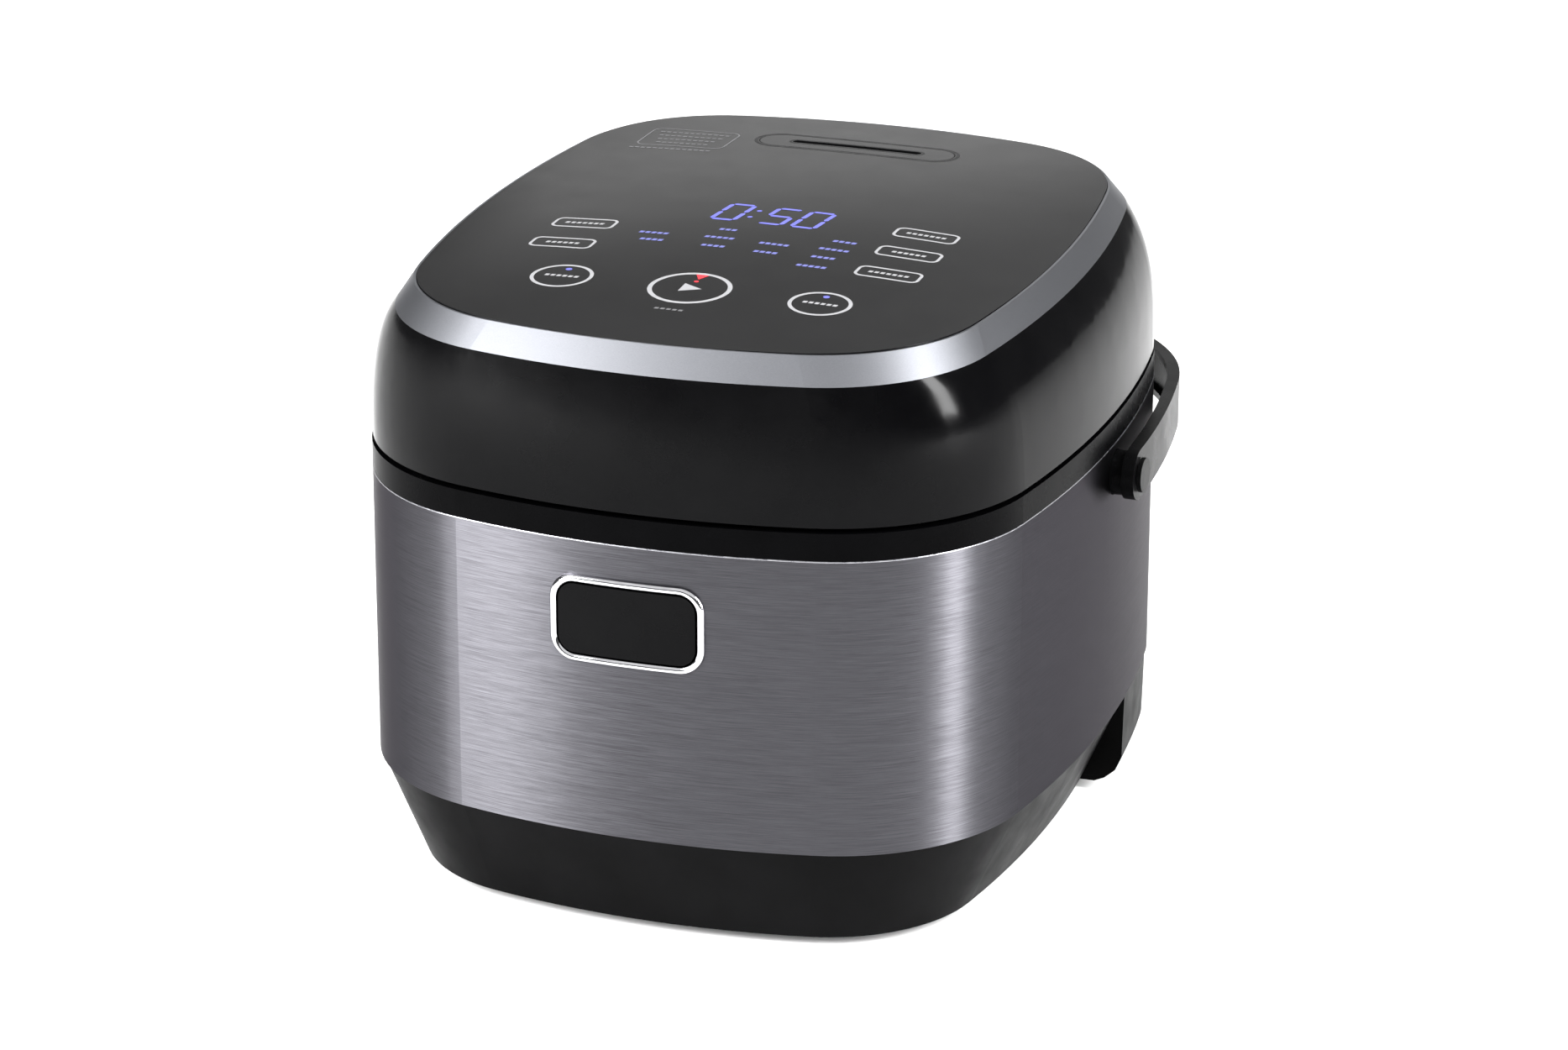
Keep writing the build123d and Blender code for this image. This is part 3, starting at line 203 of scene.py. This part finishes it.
def non_stick():
    """Dark speckled coating inside the pot."""
    shader = Shader("coated_aluminium", Metallic=0.3, Specular_IOR_Level=0.5)
    speckle = shader.noise(900, 2, 0.8)
    shader.colour(shader.ramp(speckle, (0.035, 0.035, 0.038), (0.13, 0.13, 0.135), 0.5, 0.75))
    shader.rough(shader.span(shader.noise(50, 3), 0.3, 0.45))
    shader.bump(speckle, 1e-5)
    return shader.material


MATERIALS = {
    "black_plastic": moulded_plastic(
        "black_plastic", (0.001, 0.001, 0.0011), (0.0022, 0.0022, 0.0024), 0.34, 0.46, 1400, 1.2e-5, 0.03),
    "textured_plastic": moulded_plastic(
        "textured_plastic", (0.0014, 0.0014, 0.0015), (0.003, 0.003, 0.0032), 0.46, 0.62, 1600, 4e-5, 0.03),
    "satin_plastic": moulded_plastic(
        "satin_plastic", (0.0005, 0.0005, 0.0006), (0.001, 0.001, 0.0012), 0.24, 0.3, 2000, 2e-6, 0.018),
    "gloss_plastic": moulded_plastic(
        "gloss_plastic", (0.001, 0.001, 0.0012), (0.0018, 0.0018, 0.002), 0.1, 0.16, 500, 1e-6, 0.05),
    "panel_black": moulded_plastic(
        "panel_black", (0.0016, 0.0016, 0.0018), (0.0024, 0.0024, 0.0026), 0.24, 0.27, 2600, 8e-7, 0.14),
    "handle_plastic": moulded_plastic(
        "handle_plastic", (0.001, 0.001, 0.0011), (0.0022, 0.0022, 0.0024), 0.24, 0.32, 1500, 8e-6, 0.04),
    "heatproof_plastic": moulded_plastic(
        "heatproof_plastic", (0.26, 0.26, 0.27), (0.33, 0.33, 0.34), 0.5, 0.65, 900, 2e-5, 0.35),
    "capacitor_sleeve": moulded_plastic(
        "capacitor_sleeve", (0.02, 0.025, 0.08), (0.03, 0.04, 0.12), 0.3, 0.45, 700, 1e-5, 0.4),
    "ferrite": moulded_plastic("ferrite", (0.03, 0.03, 0.033), (0.06, 0.06, 0.065), 0.5, 0.7, 800, 3e-5, 0.4),
    "display_dark": moulded_plastic(
        "display_dark", (0.01, 0.01, 0.02), (0.02, 0.02, 0.035), 0.1, 0.18, 300, 1e-6, 0.5),
    "foot_rubber": rubber("foot_rubber", (0.012, 0.012, 0.012), (0.025, 0.025, 0.025)),
    "silicone": rubber("silicone", (0.5, 0.5, 0.48), (0.62, 0.62, 0.6)),
    "conductive_foam": rubber("conductive_foam", (0.03, 0.03, 0.03), (0.06, 0.06, 0.06)),
    "brushed_steel": brushed_steel(),
    "screw_steel": metal("screw_steel", (0.42, 0.42, 0.43), (0.6, 0.6, 0.61), 0.25, 0.4),
    "spring_steel": metal("spring_steel", (0.22, 0.22, 0.24), (0.34, 0.34, 0.36), 0.22, 0.38),
    "satin_silver": metal(
        "satin_silver", (0.165, 0.17, 0.185), (0.20, 0.205, 0.22), 0.38, 0.43, (1, 1, 6), 1500, 4e-7),
    "bare_aluminium": metal("bare_aluminium", (0.62, 0.62, 0.63), (0.75, 0.75, 0.76), 0.3, 0.42),
    "chrome_plate": metal("chrome_plate", (0.52, 0.52, 0.54), (0.6, 0.6, 0.62), 0.05, 0.09, depth=1e-7),
    "contact_brass": metal("contact_brass", (0.55, 0.44, 0.2), (0.72, 0.6, 0.32), 0.2, 0.35),
    "copper_winding": copper_winding(),
    "coated_aluminium": non_stick(),
    "circuit_board": circuit_board(),
}


def print_ink(name, colour, glow=0.0):
    """Printed or lit mark on the panel, or a line of painted shade."""
    shader = Shader(name, Specular_IOR_Level=0.3)
    low = tuple(c * 0.85 for c in colour)
    shader.colour(shader.ramp(shader.noise(500, 3), low, colour))
    shader.rough(shader.span(shader.noise(300, 3), 0.4, 0.55))
    if glow:
        shader.set(Emission_Color=colour, Emission_Strength=glow)
    return shader.material


GREY_INK = print_ink("grey_ink", (0.30, 0.30, 0.31))
DARK_INK = print_ink("dark_ink", (0.12, 0.12, 0.125))
BLUE_LIGHT = print_ink("blue_light", (0.11, 0.115, 0.46), 0.22)
LABEL_LIGHT = print_ink("label_light", (0.12, 0.13, 0.36), 0.1)
RED_LIGHT = print_ink("red_light", (0.75, 0.02, 0.03), 0.5)
# painted shade: near-black ink for the lines that stand in for the shade in the gap round the steam cap and
# in its slot
PAINTED_GAP_SHADE = print_ink("painted_gap_shade", (0.0012, 0.0012, 0.0014))


# --- geometry helpers -------------------------------------------------------
def outline(half_width, half_depth, corner, inset=0.0, per_arc=24):
    """Points, in mm and anticlockwise from the front's middle, round the bowed outline."""
    front = Vector((0, -half_depth + FRONT_BOW_RADIUS))
    side = Vector((half_width - SIDE_BOW_RADIUS, 0))
    to_side = side - front
    span = to_side.length
    from_front = FRONT_BOW_RADIUS - corner
    from_side = SIDE_BOW_RADIUS - corner
    along = (span**2 + from_front**2 - from_side**2) / (2 * span)
    across = math.sqrt(from_front**2 - along**2)
    direction = to_side.normalized()
    normal = Vector((-direction.y, direction.x))
    options = [front + direction * along + normal * sign * across for sign in (1, -1)]
    centre = max(options, key=lambda point: point.x - point.y)

    def angle(origin, point):
        return math.atan2(point.y - origin.y, point.x - origin.x)

    first = angle(front, centre)
    second = angle(side, centre)
    arcs = [
        (front, FRONT_BOW_RADIUS, -math.pi / 2, first),
        (centre, corner, first, second),
        (side, SIDE_BOW_RADIUS, second, 0.0),
    ]
    quarter = []
    for origin, radius, start, end in arcs:
        for step in range(per_arc):
            turn = start + (end - start) * step / per_arc
            quarter.append(origin + Vector((math.cos(turn), math.sin(turn))) * (radius - inset))
    right_end = Vector((half_width - inset, 0))
    upper = [Vector((point.x, -point.y)) for point in reversed(quarter[1:])]
    rear_end = Vector((0, half_depth - inset))
    half = quarter + [right_end] + upper + [rear_end]
    left = [Vector((-point.x, point.y)) for point in reversed(half[1:-1])]
    return half + left


def make_object(name, mesh_builder, material, body, smooth=True):
    mesh = bpy.data.meshes.new(name)
    work = bmesh.new()
    mesh_builder(work)
    bmesh.ops.recalc_face_normals(work, faces=work.faces)
    work.to_mesh(mesh)
    work.free()
    for polygon in mesh.polygons:
        polygon.use_smooth = smooth
    made = bpy.data.objects.new(name, mesh)
    bpy.context.scene.collection.objects.link(made)
    mesh.materials.append(material)
    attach(made, body)
    return made


def level(points, z):
    """A ring of outline points at one height, in the row frame."""
    return [Vector((point.x, point.y + ROW_SHIFT_Y, z)) * MM for point in points]


def skin(work, rings):
    """Quads between successive closed rings of equal length."""
    made = [[work.verts.new(point) for point in ring] for ring in rings]
    count = len(made[0])
    for lower, upper in zip(made, made[1:]):
        for index in range(count):
            after = (index + 1) % count
            work.faces.new((lower[index], lower[after], upper[after], upper[index]))


# --- marks on the touch panel ------------------------------------------------
def surface_of(node):
    """Ray-cast tree of a CAD node's mesh."""
    mesh = NODES[node].data
    return BVHTree.FromPolygons(
        [vertex.co.copy() for vertex in mesh.vertices],
        [tuple(polygon.vertices) for polygon in mesh.polygons],
    )


PANEL_SURFACE = surface_of("top_panel")
CAP_SURFACE = surface_of("steam_cap")


def on_surface(surface, x, y, lift=0.06):
    """Point just above a surface, from body-centred millimetres."""
    above = Vector((x, y + ROW_SHIFT_Y, 300.0)) * MM
    hit, _, _, _ = surface.ray_cast(above, Vector((0, 0, -1)))
    if hit is None:
        raise ValueError(f"no surface at {x}, {y}")
    return hit + Vector((0, 0, lift * MM))


def stroke(name, loop, width, material, body="lid", surface=PANEL_SURFACE, lift=0.06):
    """Printed line of even width along a closed loop of (x, y) points."""
    count = len(loop)
    rings = []
    for side in (-0.5, 0.5):
        ring = []
        for index, point in enumerate(loop):
            along = (loop[(index + 1) % count] - loop[index - 1]).normalized()
            across = Vector((along.y, -along.x))
            ring.append(on_surface(surface, *(point + across * side * width), lift))
        rings.append(ring)
    return make_object(name, lambda work: skin(work, rings), material, body)


def patch(name, shapes, material):
    """Filled printed marks, each one polygon laid on the panel."""
    def build(work):
        for shape in shapes:
            work.faces.new([work.verts.new(on_surface(PANEL_SURFACE, *point)) for point in shape])
    return make_object(name, build, material, "lid", smooth=False)


def round_loop(x, y, radius, steps=64):
    return [
        Vector((x + radius * math.cos(turn), y + radius * math.sin(turn)))
        for turn in (math.tau * step / steps for step in range(steps))
    ]


def soft_box_loop(x, y, width, height, corner, steps=8):
    """Rounded rectangle, anticlockwise, with straight sides divided so that they follow the dome."""
    corners = [(1, 1, 0), (-1, 1, 90), (-1, -1, 180), (1, -1, 270)]
    loop = []
    for sign_x, sign_y, start in corners:
        centre = Vector((sign_x * (width / 2 - corner), sign_y * (height / 2 - corner)))
        for step in range(steps + 1):
            turn = math.radians(start + 90 * step / steps)
            loop.append(centre + Vector((math.cos(turn), math.sin(turn))) * corner)
    divided = []
    for index, point in enumerate(loop):
        after = loop[(index + 1) % len(loop)]
        pieces = 10 if index % (steps + 1) == steps else 1
        divided += [point.lerp(after, step / pieces) for step in range(pieces)]
    return [Vector((x + point.x, y + point.y)) for point in divided]


def dashes(x, y, count, length=1.7, gap=0.7, height=1.9, slant=0.15):
    """Row of plain blocks where the real panel has a word."""
    total = count * length + (count - 1) * gap
    shapes = []
    for index in range(count):
        left = x - total / 2 + index * (length + gap)
        shapes.append([
            Vector((left - slant * height / 2, y - height / 2)),
            Vector((left + length - slant * height / 2, y - height / 2)),
            Vector((left + length + slant * height / 2, y + height / 2)),
            Vector((left + slant * height / 2, y + height / 2)),
        ])
    return shapes


START_SPOT = (0.0, -94.0)
SIDE_SPOTS = [(-52.5, -94.0), (52.5, -94.0)]
KEY_SPOTS = [(-67.5, -32.0), (-67.0, -57.0), (65.6, -5.0), (66.2, -28.6), (66.3, -53.7)]
KEY_SIZE = (25.0, 10.5)
LABEL_SPOTS = [
    (-36, -38, 5), (-34, -46, 4), (-9, -27, 3), (-9, -37, 5), (-8, -47, 4), (14, -38, 5), (14, -48, 4),
    (39, -26, 4), (38, -36, 5), (37, -46, 4), (36, -57, 5),
]


def touch_marks():
    """Rings and boxes round the touch areas, with plain marks in place of words."""
    stroke("start_ring", round_loop(*START_SPOT, 15.4), 1.8, GREY_INK)
    x, y = START_SPOT
    triangle = [Vector((x - 3.4, y - 4.2)), Vector((x + 4.8, y)), Vector((x - 3.4, y + 4.2))]
    patch("start_mark", [triangle], GREY_INK)
    patch("lock_mark", dashes(x, -117, 5, height=1.5), DARK_INK)
    for number, spot in enumerate(SIDE_SPOTS):
        stroke(f"side_ring_{number}", round_loop(*spot, 11.6), 1.5, GREY_INK)
        patch(f"side_mark_{number}", dashes(*spot, 6), GREY_INK)
        patch(f"side_light_{number}", [round_loop(spot[0], spot[1] + 7.5, 1.3, 20)], BLUE_LIGHT)
    for number, spot in enumerate(KEY_SPOTS):
        stroke(f"key_frame_{number}", soft_box_loop(*spot, *KEY_SIZE, 2.8), 1.2, GREY_INK)
        patch(f"key_mark_{number}", dashes(*spot, 6 if number % 2 else 7), GREY_INK)


def start_light():
    """Small red pointer at the top of the start ring."""
    x, y = START_SPOT
    shape = [Vector((x - 3.0, y + 15.2)), Vector((x, y + 9.4)), Vector((x + 3.0, y + 15.2))]
    patch("start_light", [shape, round_loop(x, y + 7.2, 0.9, 16)], RED_LIGHT)


def segment(x, y, length, width, upright):
    """One bar of a seven-segment digit, pointed at both ends."""
    half, edge = length / 2, width / 2
    shape = [
        (-half, 0), (-half + edge, edge), (half - edge, edge),
        (half, 0), (half - edge, -edge), (-half + edge, -edge),
    ]
    turned = [(-b, a) if upright else (a, b) for a, b in shape]
    return [(x + a, y + b) for a, b in turned]


LIT_SEGMENTS = {"0": "abcdef", "5": "acdfg"}
DIGIT_WIDTH = 9.4
DIGIT_HEIGHT = 20.0
DIGIT_STROKE = 1.9
DIGIT_PLACES = (("0", -16.5), ("5", 3.2), ("0", 17.0))
COLON_X = -7.6
COLON_RADIUS = 1.1


def digit(character, x, y, width, height, thickness):
    """Lit bars of one seven-segment digit."""
    half_height = height / 2
    places = {
        "a": (0, half_height, False), "g": (0, 0, False), "d": (0, -half_height, False),
        "f": (-width / 2, half_height / 2, True), "b": (width / 2, half_height / 2, True),
        "e": (-width / 2, -half_height / 2, True), "c": (width / 2, -half_height / 2, True),
    }
    bars = []
    for key in LIT_SEGMENTS[character]:
        bar_x, bar_y, upright = places[key]
        length = (half_height if upright else width) - 0.5
        bars.append(segment(x + bar_x, y + bar_y, length, thickness, upright))
    return bars


def time_display():
    """Lit digits of the timer, leaning a little as such displays do."""
    centre_x, centre_y, slant = 1.7, -5.0, 0.12
    bars = []
    for character, x in DIGIT_PLACES:
        bars += digit(character, x, 0, DIGIT_WIDTH, DIGIT_HEIGHT, DIGIT_STROKE)
    for y in (-4.2, 4.2):
        bars.append([
            (COLON_X + COLON_RADIUS * math.cos(turn), y + COLON_RADIUS * math.sin(turn))
            for turn in (0.8 * step for step in range(8))
        ])
    shapes = [[Vector((centre_x + x + slant * y, centre_y + y)) for x, y in bar] for bar in bars]
    patch("time_digits", shapes, BLUE_LIGHT)
    labels = []
    for x, y, count in LABEL_SPOTS:
        labels += dashes(x, y, count, length=1.9, gap=0.6, height=2.2)
    patch("menu_labels", labels, LABEL_LIGHT)


STICKER_X = -71.0
STICKER_Y = 94.0


def panel_sticker():
    """Printed frame at the rear left with plain lines in it."""
    stroke("sticker_frame", soft_box_loop(STICKER_X, STICKER_Y, 38, 26, 4), 0.7, DARK_INK)
    lines = []
    for row in range(4):
        lines += dashes(STICKER_X, STICKER_Y + 8 - row * 5.4, 12 - row, length=1.9, gap=0.7, height=1.3)
    patch("sticker_lines", lines, DARK_INK)
    foot = dashes(STICKER_X - 2, STICKER_Y - 17.5, 14, length=1.9, gap=0.7, height=1.4)
    patch("sticker_foot", foot, DARK_INK)


def stadium_loop(y, length, width, steps=24):
    return soft_box_loop(0, y, length, width, width / 2 - 0.01, steps)


def vent_lines():
    """Painted shade: dark lines round the steam cap and round its slot, standing in for the shade in the gap
    and in the slot.
    """
    round_cap = stadium_loop(VENT_Y, 87.2, 21.2)
    round_slot = stadium_loop(VENT_Y, 57.8, 5.6)
    stroke("vent_gap_painted_shade", round_cap, 1.5, PAINTED_GAP_SHADE, "lid", PANEL_SURFACE, 0.03)
    stroke("slot_painted_shade", round_slot, 1.1, PAINTED_GAP_SHADE, "steam_cap", CAP_SURFACE, 0.03)


# --- pieces with rounder shapes than the CAD's ---------------------------------
BEZEL_HALF_WIDTH = 31.3
BEZEL_HALF_HEIGHT = 17.6
BEZEL_WIDTH = 3.2
BEZEL_PROUD = 1.95
BEZEL_CORNER_RADIUS = 10.3
BUTTON_Z = 132.4


def on_front(x, z, proud):
    """Point in front of the bowed front face."""
    bow = FRONT_BOW_RADIUS - math.sqrt(FRONT_BOW_RADIUS**2 - x**2)
    return Vector((x, -BODY_HALF_DEPTH + bow - proud + ROW_SHIFT_Y, z)) * MM


def chrome_bezel():
    """Half-round chrome frame round the push button."""
    steps = 16
    rings = []
    for step in range(steps + 1):
        turn = math.pi * step / steps
        drawn_in = BEZEL_WIDTH * (1 - math.cos(turn)) / 2
        proud = BEZEL_PROUD * math.sin(turn)
        loop = soft_box_loop(
            0, BUTTON_Z, 2 * (BEZEL_HALF_WIDTH - drawn_in), 2 * (BEZEL_HALF_HEIGHT - drawn_in),
            BEZEL_CORNER_RADIUS - drawn_in * 0.9, 12,
        )
        rings.append([on_front(point.x, point.y, proud if 0 < step < steps else -0.6) for point in loop])
    ring = make_object("chrome_bezel", lambda work: skin(work, rings), MATERIALS["chrome_plate"], "housing")
    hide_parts("button_bezel")


def painted_highlight_steel_edge():
    """Rolled edge along the top of the steel, in a brighter steel than the wrap so that it shows as a thin
    painted highlight line.
    """
    rings = []
    for step in range(7):
        turn = math.pi * step / 6
        inset = 0.3 - 0.4 * math.sin(turn)
        loop = outline(BODY_HALF_WIDTH, BODY_HALF_DEPTH, BODY_CORNER_RADIUS, inset)
        rings.append(level(loop, STEEL_TOP_Z - 0.7 + 0.4 * (1 - math.cos(turn))))
    # painted highlight: the brighter spring_steel finish stands in for the bright line that light draws along
    # the steel's top edge
    edge = make_object("painted_highlight_steel_edge", lambda work: skin(work, rings), MATERIALS["spring_steel"], "housing")


# --- give every carried-over CAD node its finish ----------------------------
SLOT_OF = {part["node"]: part["material_slot"] for part in frame["record"]["subparts"]}
for name, obj in NODES.items():
    material = MATERIALS[SLOT_OF[name]]
    obj.data.materials.clear()
    obj.data.materials.append(material)

touch_marks()
start_light()
time_display()
panel_sticker()
vent_lines()
chrome_bezel()
painted_highlight_steel_edge()


# --- camera, floor and light ------------------------------------------------
def add_camera():
    """Long lens from the front right, a little above the lid."""
    azimuth = math.radians(19.69)
    elevation = math.radians(20.09)
    distance = 2.0933
    back = Vector((
        math.sin(azimuth) * math.cos(elevation),
        -math.cos(azimuth) * math.cos(elevation),
        math.sin(elevation),
    ))
    right = Vector((math.cos(azimuth), math.sin(azimuth), 0))
    up = back.cross(right)
    target = Vector((0, ROW_SHIFT_Y * MM, 0.1216))
    camera = bpy.data.cameras.new("camera")
    camera.sensor_width = 36.0
    camera.lens = 118.7
    camera.shift_x = 0.0070
    camera.shift_y = -0.0094
    holder = bpy.data.objects.new("camera", camera)
    bpy.context.scene.collection.objects.link(holder)
    turn = Matrix((right, up, back)).transposed().to_4x4()
    holder.matrix_world = Matrix.Translation(target + back * distance) @ turn
    bpy.context.scene.camera = holder


def add_floor():
    mesh = bpy.data.meshes.new("floor")
    size = 4.0
    corners = [(-size, -size, 0), (size, -size, 0), (size, size, 0), (-size, size, 0)]
    mesh.from_pydata(corners, [], [(0, 1, 2, 3)])
    floor = bpy.data.objects.new("floor", mesh)
    bpy.context.scene.collection.objects.link(floor)
    shader = Shader("floor", Specular_IOR_Level=0.1)
    shader.colour(shader.ramp(shader.noise(3, 2), (0.90, 0.90, 0.90), (0.92, 0.92, 0.92)))
    shader.rough(shader.span(shader.noise(40, 2), 0.8, 0.9))
    mesh.materials.append(shader.material)


def add_area_light(name, place, target, size, power):
    light = bpy.data.lights.new(name, "AREA")
    light.shape = "RECTANGLE"
    light.size, light.size_y = size
    light.energy = power
    holder = bpy.data.objects.new(name, light)
    bpy.context.scene.collection.objects.link(holder)
    holder.location = place
    holder.rotation_euler = (Vector(target) - Vector(place)).to_track_quat("-Z", "Y").to_euler()


def add_light():
    """Dim white surround, tall softboxes at the left front and right, one behind, one overhead."""
    world = bpy.data.worlds.new("studio")
    bpy.context.scene.world = world
    world.use_nodes = True
    background = world.node_tree.nodes["Background"]
    background.inputs["Color"].default_value = (1, 1, 1, 1)
    background.inputs["Strength"].default_value = 0.15
    aim = (0, 0, 0.12)
    add_area_light("softbox_left", (-1.34, -1.49, 0.95), aim, (0.66, 1.5), 125)
    add_area_light("softbox_right", (1.98, -0.22, 0.95), aim, (0.34, 1.5), 120)
    add_area_light("softbox_back", (-0.35, 2.6, 0.8), (0, 0, 0.3), (1.9, 0.7), 4.4)
    overhead = bpy.data.lights.new("overhead", "SUN")
    overhead.energy = 2.4
    overhead.angle = math.radians(125)
    holder = bpy.data.objects.new("overhead", overhead)
    bpy.context.scene.collection.objects.link(holder)


add_camera()
add_floor()
add_light()
bpy.context.scene.view_settings.view_transform = "Standard"
